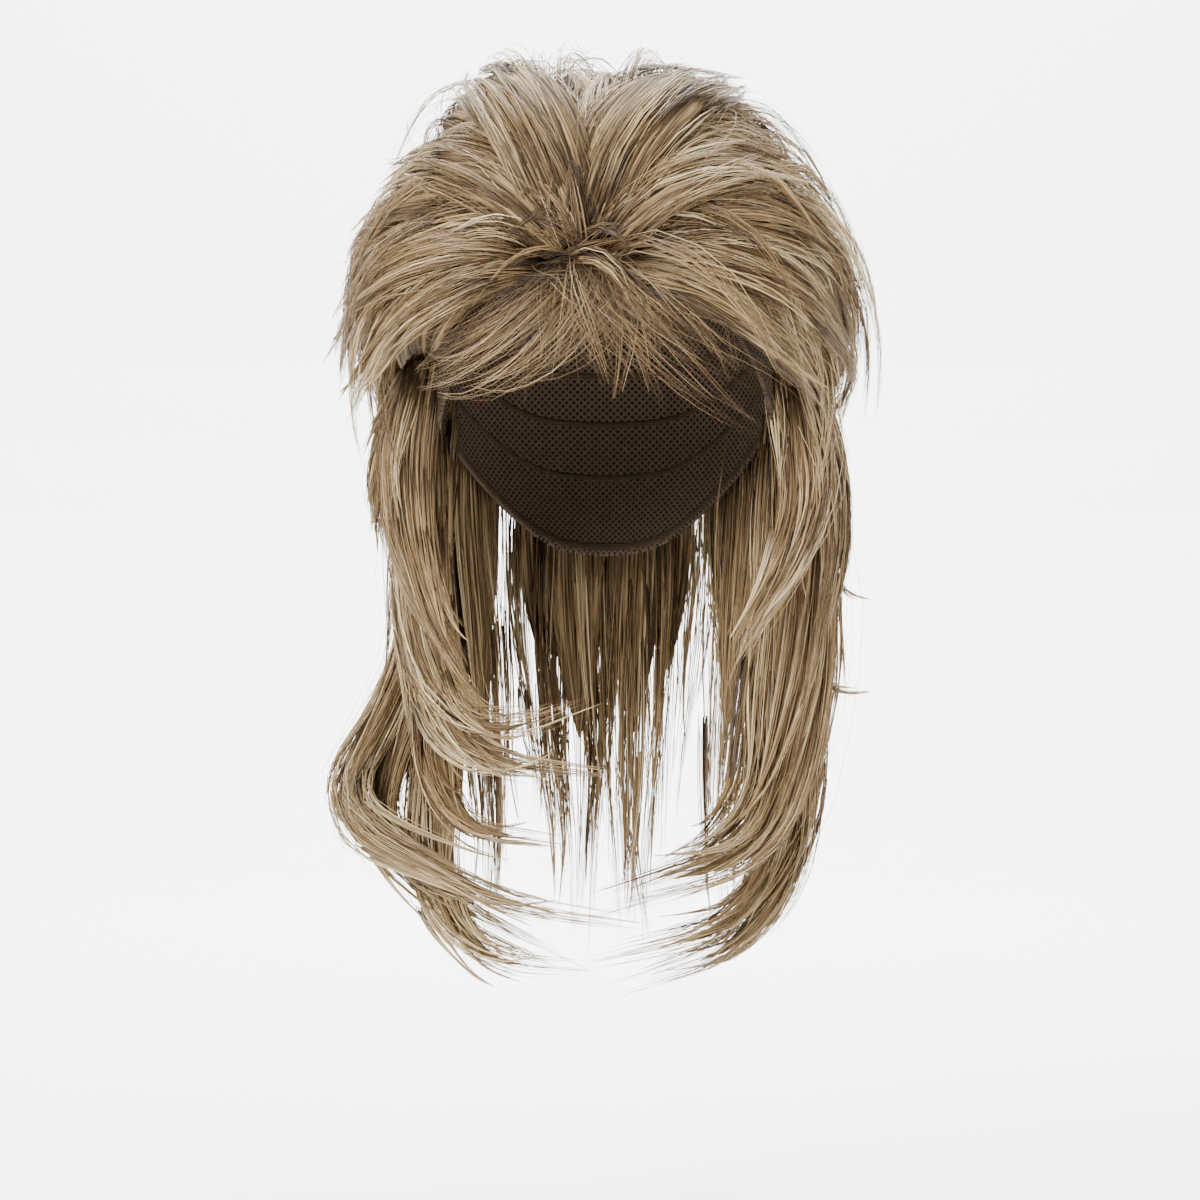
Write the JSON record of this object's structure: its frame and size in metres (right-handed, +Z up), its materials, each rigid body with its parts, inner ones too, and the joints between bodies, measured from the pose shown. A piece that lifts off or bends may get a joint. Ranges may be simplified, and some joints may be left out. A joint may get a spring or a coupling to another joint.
{
  "type": "mullet wig",
  "caption": "Layered mullet wig on a close-fitting net cap, with a teased crown, thin fringe, feathered sides and long hair over the shoulders.",
  "frame": {"origin": "where the top of the wearer's head meets the inside of the cap", "axes": "+Z up, -Y the way the wearer faces, +X to the wearer's left"},
  "size_m": [0.2332, 0.2518, 0.4003],
  "materials": {
    "cap_net": "matt net",
    "hair": "soft sheen"
  },
  "bodies": {
    "root": {"wig_cap": "cap_net", "crown_hair": "hair", "side_wing_left": "hair", "side_wing_right": "hair", "fringe": "hair", "temple_lock_left": "hair", "temple_lock_right": "hair", "tail_left": "hair", "tail_right": "hair", "shoulder_lock_right": "hair", "back_hair_left": "hair", "back_hair_middle": "hair", "back_hair_right": "hair"}
  },
  "joints": []
}
